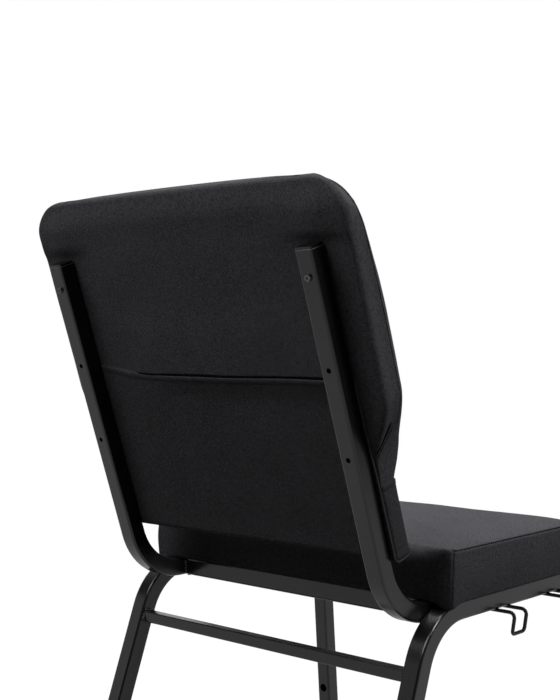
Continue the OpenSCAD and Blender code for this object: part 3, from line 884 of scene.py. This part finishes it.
# A low ridge in the cloth of the seat's top: its middle, and the direction across it
RIDGE_X, RIDGE_Y = -114, -48
RIDGE_DX, RIDGE_DY = 0.32, 0.95
# Where spots lie beside each corner, on a side of about this length, and which of them is stitched
SEAT_SIDE = 440.0
NEAR_CORNER = (1.4, 3.6, 5.6, 7.2, 8.8, 12)
STITCHED = 3

Spot = namedtuple("Spot", "x y share line")
Level = namedtuple("Level", "side_in side_z end_in end_z r near_in")


def seat_outline(half_w, half_d, r):
    """Rounded rectangle of spots.

    share is 0 on the sides and 1 along the front and rear. line says which spots lie on the upright
    seams at the corners, and which on the stitches beside them.
    """
    near = [d / SEAT_SIDE for d in NEAR_CORNER]
    marks = near + [k / 60 for k in range(2, 59)] + [1 - d for d in reversed(near)]
    spots = []
    for q in range(4):
        at_end = q in (0, 2)
        for k, (x, y) in enumerate(corner_arc(q, half_w, half_d, r, CORNER_STEPS)):
            part = k / CORNER_STEPS
            line = "seam" if k == CORNER_STEPS // 2 else ""
            spots.append(Spot(x, y, smooth(part if at_end else 1 - part), line))
        start = spots[-1]
        x1, y1 = corner_arc(q + 1, half_w, half_d, r, CORNER_STEPS)[0]
        for k, t in enumerate(marks):
            line = "stitches" if at_end and k in (STITCHED, len(marks) - 1 - STITCHED) else ""
            spots.append(Spot(mix(start.x, x1, t), mix(start.y, y1, t), 1.0 if at_end else 0.0, line))
    return spots


def seat_fall(y):
    """How far the seat has fallen away towards its front edge, from 0 to 1."""
    t = max(0.0, (SEAT_FRONT + FALL_OVER - y) / FALL_OVER)
    return t * t


def crown_rise(d):
    share = 1 - (1 - min(d, CROWN_REACH - 1) / CROWN_REACH) ** 4
    return CROWN_EDGE + (CROWN - CROWN_EDGE) * share


def wall_level(u):
    """One row of the walls. The sides are nearly upright, and the ends round over to the top."""
    side_in = 0.9 - 0.4 * u - 1.9 * math.sin(math.pi * u)
    run = u * (END_STRAIGHT + END_R * math.pi / 2)
    if run < END_STRAIGHT:
        end_in = 0.5 - 1.6 * math.sin(math.pi * run / END_STRAIGHT / 1.15)
        end_z = WALL_FOOT + run
        near_in = end_in
    else:
        a = (run - END_STRAIGHT) / END_R
        end_in = 0.1 + END_R * (1 - math.cos(a))
        end_z = WALL_FOOT + END_STRAIGHT + END_R * math.sin(a)
        near_in = 0.1 + 4.8 * (1 - math.cos(a))
    return Level(side_in, WALL_FOOT + u * (SIDE_H - 2.3), end_in, end_z, 5 + 2 * u, near_in)


def seat_levels():
    """Rows of the cover, from the underside up the walls, over the welt and in to the top's middle.

    Each has an inset and height on the sides and at the ends, a corner radius, and the inset of the
    ends near the side seams.
    """
    levels = [Level(16, 1.6, 16, 1.6, 6, 16), Level(8, 0.4, 8, 0.4, 5.5, 8),
              Level(3.2, -0.3, 3.2, -0.3, 5, 3.2), Level(1.4, 0.3, 1.4, 0.3, 5, 1.4)]
    levels += [wall_level(k / WALL_ROWS) for k in range(WALL_ROWS + 1)]
    end_top = WALL_FOOT + END_STRAIGHT + END_R
    levels += [Level(1.6, SIDE_H - 0.5, 25.0, end_top + 0.1, 7, 5.2),
               Level(WELT_IN, SIDE_H, 26.0, end_top + 0.2, 7, 5.6),
               Level(1.3, SIDE_H + 0.7, 27.0, end_top + 0.35, 7, 6.1),
               Level(1.9, SIDE_H + 1.8, 28.5, end_top + 0.55, 7, 6.8),
               Level(4.2, SIDE_H + 2.5, 30.5, end_top + 0.85, 7, 8.4)]
    for d in (7.5, 11, 15, 20, 26, 33, 41, 51, 62, 75, 90, 106, 124, 142, 160, 178, 192, 202, 208):
        z = SIDE_H + 0.6 + crown_rise(d)
        end_in = d + 26 * (1 - d / CROWN_REACH) ** 2
        levels.append(Level(d, z, end_in, z, max(3.0, 7 - d / 30), d + 4.2))
    return levels


def seat_point(level, x, y, share, line):
    """Where a point of a level's outline lies once the cover is filled, sewn and sat on."""
    z = mix(level.side_z, level.end_z, share)
    # near its side seams the rounded end edge gets tighter
    tighter = rise(abs(x), 205, 60) * (level.end_in - level.near_in) * rise(abs(y), 30, 120)
    y += math.copysign(tighter, y)
    yy = y + SEAT_MID_Y
    z *= 1 - 0.42 * seat_fall(yy)
    # the cover hangs a little at the rear corners
    corner = math.hypot(abs(x) - SEAT_HALF_W + 10, yy - SEAT_REAR)
    z -= 8.8 * fade(level.side_z, 14, 14) * math.exp(-(corner / 14) ** 2)
    if level.side_z < SIDE_H - 0.5:
        if line == "seam":
            groove = 1.5 * rise(level.side_z, 2, 5)
            x -= math.copysign(groove, x)
            yy -= math.copysign(groove, y)
        swelling = rise(level.side_z, 3, 12) * fade(level.side_z, SIDE_H, 10)
        if share < 1:
            x += math.copysign(1, x) * swelling * 0.8 * abs(wobble(yy, level.side_z, 0, 55, 2.2))
        if share > 0.5:
            yy += math.copysign(1, y) * swelling * 0.9 * abs(wobble(x, level.end_z, 0, 60, 7.2))
            if line == "stitches":
                yy -= math.copysign(0.9 * rise(level.side_z, 4, 6), y)
    else:
        waves = 0.9 * wobble(x, yy, 0, 80, 4.4) + 0.3 * wobble(x, yy, 0, 24, 1.7)
        z += rise(level.side_in, 2, 12) * waves
        across = (x - RIDGE_X) * RIDGE_DX + (yy - RIDGE_Y) * RIDGE_DY
        along = (x - RIDGE_X) * RIDGE_DY - (yy - RIDGE_Y) * RIDGE_DX
        z += 2.0 * math.exp(-(along / 26) ** 2) * math.exp(-(across / 3.5) ** 2)
    return x, yy, RAIL_TOP + z


def build_seat_seams(levels, rings, columns):
    """Dark tubes of painted shade on each side: up the upright seam at the rear, along the welt and
    down the seam at the front.
    """
    welt = next(i for i, level in enumerate(levels) if level.side_in == WELT_IN)
    foot = 4
    seams = []
    for side, label in SIDES:
        near = [(spot, j) for j, spot in enumerate(columns) if spot.x * side > 0]
        near.sort(key=lambda pair: pair[0].y)
        on_side = [j for spot, j in reversed(near) if spot.share == 0]
        front, rear = [j for spot, j in near if spot.line == "seam"]
        path = [rings[i][rear] for i in range(foot, welt)] + [rings[welt][j] for j in on_side]
        path += [rings[i][front] for i in range(welt - 1, foot - 1, -1)]
        seams.append(tube_along("seat_seam_shade_" + label, path, 0.95, sides=6))
    return seams


def build_seat(rings, columns):
    verts, faces = ring_grid(rings)
    obj = new_piece("seat_cushion", verts, faces)
    # the weave runs from the middle of the top, out and down the sides or down the ends
    runs = column_runs(rings[::-1])[::-1]
    n = len(columns)
    layer = obj.data.uv_layers.new(name="UVMap")
    for poly in obj.data.polygons:
        at_end = columns[min(v % n for v in poly.vertices)].share > 0.5
        for li in poly.loop_indices:
            i, j = divmod(obj.data.loops[li].vertex_index, n)
            spot, point, middle = columns[j], rings[i][j], rings[-1][j]
            if at_end:
                layer.data[li].uv = (point[0], middle[1] + math.copysign(runs[i][j], spot.y))
            else:
                layer.data[li].uv = (middle[0] + math.copysign(runs[i][j], spot.x), point[1])
    face_outwards(obj)
    return obj


seat_rows = seat_levels()
seat_rings = []
for row in seat_rows:
    outline = seat_outline(SEAT_HALF_W - row.side_in, SEAT_HALF_D - row.end_in, row.r)
    seat_rings.append([seat_point(row, *spot) for spot in outline])
seat_columns = seat_outline(SEAT_HALF_W, SEAT_HALF_D, 8)
seat_seams = build_seat_seams(seat_rows, seat_rings, seat_columns)
seat_cushion = build_seat(seat_rings, seat_columns)
place(seat_cushion, seat_cloth, "upholstery", "seat_cover", "seat_foam")
# the seat's seams get dark tubes of painted shade
for seam_line in seat_seams:
    place(seam_line, seam_shade, "upholstery")


# Dust cloth under the seat, which sags between the cross tubes
DUST_HALF_W = 214.0
DUST_GAP = 0.6
DUST_HALF_T = 0.3


def build_dust_cloth():
    front, rear = FRONT_CROSS_Y + TUBE + DUST_GAP, REAR_CROSS_Y - TUBE - DUST_GAP
    across, along = 70, 38
    lower, upper = [], []
    for i in range(along + 1):
        for j in range(across + 1):
            u, v = j / across, i / along
            x, y = mix(-DUST_HALF_W, DUST_HALF_W, u), mix(front, rear, v)
            middle = smooth(min(u, 1 - u) * 6) * smooth(min(v, 1 - v) * 4)
            sag = middle * (2.6 + 0.9 * wobble(x, y, 0, 60, 3.3) + 0.4 * wobble(x, y, 0, 22, 5.5))
            z = RAIL_TOP - 0.8 - sag
            edge = 0.5 * wobble(x, y, 0, 16, 8.1)
            lower.append((x + edge * (1 - middle), y, z - DUST_HALF_T))
            upper.append((x + edge * (1 - middle), y, z + DUST_HALF_T))
    obj = new_piece("dust_cloth_sheet", lower + upper, two_sided(along + 1, across + 1),
                    [(p[0], p[1]) for p in lower] * 2)
    face_outwards(obj)
    return obj


dust_sheet = build_dust_cloth()
place(dust_sheet, dust_cloth, "dust_cloth", "seat_dust_cover")


# Welds
BEAD_PITCH = 4.2
CAP_HALF = 9.2
CAP_CORNER_R = 3.1
CAP_BEAD_R = 0.8
# The middle of the rear legs meets RAIL_Z at LEG_TOP_Y, and the stretcher's middle is at STRETCHER_Z
LEG_LEAN = math.radians(20.4)
LEG_TOP_Y = 119.7
STRETCHER_Z = 284


def bead(name, a, b, radius):
    steps = max(6, int((Vector(b) - Vector(a)).length / 0.9))
    path = []
    for k in range(steps + 1):
        stray = Vector((0.3 * wobble(k, 1, 2, 5, 1), 0.3 * wobble(k, 5, 2, 5, 4), 0))
        path.append(tuple(Vector(a).lerp(Vector(b), k / steps) + stray))
    return tube_along(name, path, radius, sides=10, ripple=0.2, pitch=BEAD_PITCH)


def cap_seam(side, label):
    """The ground weld between the cap and the upright, a thin ring round the top. Its lighter coat is
    a painted highlight along the cap's edge.
    """
    path = []
    for sx, sn in ((-1, 1), (1, 1), (1, -1), (-1, -1)):
        for k in range(5):
            turn = math.radians(22.5 * k)
            ax, an = math.cos(turn), math.sin(turn)
            if sx * sn > 0:
                ax, an = an, ax
            path.append((side * UPRIGHT_X + sx * (CAP_HALF + CAP_CORNER_R * ax),
                         sn * (CAP_HALF + CAP_CORNER_R * an)))
    rings = []
    for i, (x, n) in enumerate(path):
        (xa, na), (xb, nb) = path[i - 1], path[(i + 1) % len(path)]
        size = math.hypot(xb - xa, nb - na)
        out_x, out_n = (nb - na) / size, -(xb - xa) / size
        ring = []
        for k in range(8):
            out = CAP_BEAD_R * math.cos(math.radians(45 * k))
            up = CAP_BEAD_R * math.sin(math.radians(45 * k))
            ring.append(tuple(on_back(x + out_x * out, CAP_SEAM_S + up, n + out_n * out)))
        rings.append(ring)
    verts, faces = ring_grid(rings + [rings[0]], close_first=False, close_last=False)
    obj = new_piece("weld_cap_" + label, verts, faces)
    face_outwards(obj, merge=0.00001)
    return obj


def build_beads(side, label):
    x, y = side * (UPRIGHT_X - TUBE / 2), REAR_CROSS_Y + TUBE / 2
    foot_x = x + side * TUBE
    rail_x, rail_y = side * (RAIL_X - TUBE / 2), FRONT_CROSS_Y + TUBE / 2
    low = RAIL_BOTTOM + 0.4
    leg_y = LEG_TOP_Y + (RAIL_Z - STRETCHER_Z) * math.tan(LEG_LEAN)
    lines = (("rear_cross", (x, y, RAIL_BOTTOM + 2), (x, y, RAIL_TOP - 2), 3.3),
             ("rear_cross_under", (x, y - 4, RAIL_BOTTOM), (x, y - TUBE + 4, RAIL_BOTTOM), 2.2),
             ("front_cross", (rail_x, rail_y, RAIL_BOTTOM + 3), (rail_x, rail_y, RAIL_TOP - 3), 2.4),
             ("foot_front", (foot_x, 45, low), (foot_x, 5, low), 2.0),
             ("foot_end", (foot_x, -18, low), (foot_x, -34, low), 2.0),
             ("stretcher", (rail_x, leg_y + 9.4, 277), (rail_x, leg_y + 5.4, 289.5), 3.6),
             ("stretcher_top", (rail_x, leg_y - 6, 292.4), (rail_x, leg_y + 6, 292.4), 3.0))
    return [bead("weld_%s_%s" % (kind, label), a, b, radius) for kind, a, b, radius in lines]


for side, label in SIDES:
    # the cap ring's lighter coat is a painted highlight
    place(cap_seam(side, label), cap_edge_highlight_coat, "frame")
    for weld in build_beads(side, label):
        place(weld, weld_coat, "frame")


# Floor, with its colour as shares of white: for the camera, in mirrored light and for all other light
FLOOR_HALF = 9000.0
FLOOR_SEEN = 0.85
FLOOR_MIRRORED = 0.45
FLOOR_BOUNCE = 0.06
# Distances from its middle, in metres, that the ramps for the camera and for mirrored light run over
SEEN_REACH = 4.0
MIRRORED_REACH = 10.0


def build_floor():
    half = FLOOR_HALF
    corners = [(-half, -half, 0), (half, -half, 0), (half, half, 0), (-half, half, 0)]
    floor = new_piece("floor", corners, [(0, 1, 2, 3)], smooth_faces=False)
    mat, tree, bsdf = node_material("pale_floor")
    bsdf.inputs["Roughness"].default_value = 0.9
    bsdf.inputs["Specular IOR Level"].default_value = 0.0
    glow = add(tree, "ShaderNodeEmission")
    glow.inputs["Strength"].default_value = 1.0
    rays = add(tree, "ShaderNodeLightPath").outputs
    seen = rays["Is Camera Ray"]
    mirrored = math_node(tree, "MAXIMUM", rays["Is Glossy Ray"], rays["Is Transmission Ray"])
    # the floor sends less light back to the object than it shows the camera
    lit = plus(tree, times(tree, seen, FLOOR_SEEN), times(tree, mirrored, FLOOR_MIRRORED))
    tree.links.new(math_node(tree, "MAXIMUM", lit, FLOOR_BOUNCE), bsdf.inputs["Base Color"])
    # for the camera, far from the object it is all backdrop white, and near it the white leaves room
    # for the shadow
    reach = add(tree, "ShaderNodeVectorMath", operation="LENGTH")
    tree.links.new(object_coords(tree), reach.inputs[0])
    near = math_node(tree, "DIVIDE", reach.outputs["Value"], SEEN_REACH)
    far = math_node(tree, "DIVIDE", reach.outputs["Value"], MIRRORED_REACH)
    seen_share = ramp(tree, near, ((0.25, 0.95), (0.75, 1.0)))
    # in mirrored light the floor glows brightest about 3 m out and dimmer beyond: a painted pool of
    # light that the frame reflects
    mirrored_glow_pool = ramp(tree, far, ((0.2, 0.35), (0.32, 0.6), (0.5, 0.33), (0.85, 0.06)))
    blend = add(tree, "ShaderNodeMixShader")
    tree.links.new(plus(tree, times(tree, seen, seen_share), times(tree, mirrored, mirrored_glow_pool)),
                   blend.inputs["Fac"])
    tree.links.new(bsdf.outputs["BSDF"], blend.inputs[1])
    tree.links.new(glow.outputs["Emission"], blend.inputs[2])
    tree.links.new(blend.outputs["Shader"], tree.nodes["Material Output"].inputs["Surface"])
    floor.data.materials.append(mat)


build_floor()

# World and lamps
ROOM_LEVEL = 0.03


def build_world():
    """The lit backdrop stands behind the object as the camera sees it. The rest of the room is dim."""
    world = bpy.data.worlds.new("studio")
    bpy.context.scene.world = world
    world.use_nodes = True
    tree = world.node_tree
    room = tree.nodes["Background"]
    room.inputs["Color"].default_value = (1, 1, 1, 1)
    facing = add(tree, "ShaderNodeVectorMath", operation="DOT_PRODUCT")
    tree.links.new(add(tree, "ShaderNodeTexCoord").outputs["Generated"], facing.inputs[0])
    facing.inputs[1].default_value = tuple(VIEW)
    level = ramp(tree, facing.outputs["Value"], ((0.3, ROOM_LEVEL), (0.85, 1.0)))
    tree.links.new(level, room.inputs["Strength"])
    white = add(tree, "ShaderNodeBackground")
    white.inputs["Color"].default_value = (1, 1, 1, 1)
    white.inputs["Strength"].default_value = 1.0
    blend = add(tree, "ShaderNodeMixShader")
    tree.links.new(add(tree, "ShaderNodeLightPath").outputs["Is Camera Ray"], blend.inputs["Fac"])
    tree.links.new(room.outputs["Background"], blend.inputs[1])
    tree.links.new(white.outputs["Background"], blend.inputs[2])
    tree.links.new(blend.outputs["Shader"], tree.nodes["World Output"].inputs["Surface"])


def area_lamp(name, at, aim, size, watts):
    """A lamp of a width and height, at a place and aimed at another, all in metres."""
    data = bpy.data.lights.new(name, "AREA")
    data.shape = "RECTANGLE"
    data.size, data.size_y = size
    data.energy = watts
    lamp = linked(name, data)
    lamp.location = at
    lamp.rotation_euler = (Vector(aim) - Vector(at)).to_track_quat("-Z", "Y").to_euler()


build_world()
area_lamp("top_box", (0.2, -0.75, 2.9), (0, -0.1, 0.4), size=(2.4, 1.3), watts=78)
area_lamp("side_box", (-2.3, -0.15, 2.2), (0, 0, 0.45), size=(0.5, 0.5), watts=36)
area_lamp("left_box", (2.4, -0.8, 1.3), (0, 0, 0.45), size=(0.8, 0.8), watts=14)
area_lamp("rear_box", (0.5, 1.9, 2.8), (0, 0.2, 0.6), size=(1.6, 1.4), watts=50)
area_lamp("rear_wall", (1.9, 2.1, 0.95), (0, 0.1, 0.5), size=(1.4, 1.2), watts=4.2)

bpy.context.scene.view_settings.view_transform = "Standard"
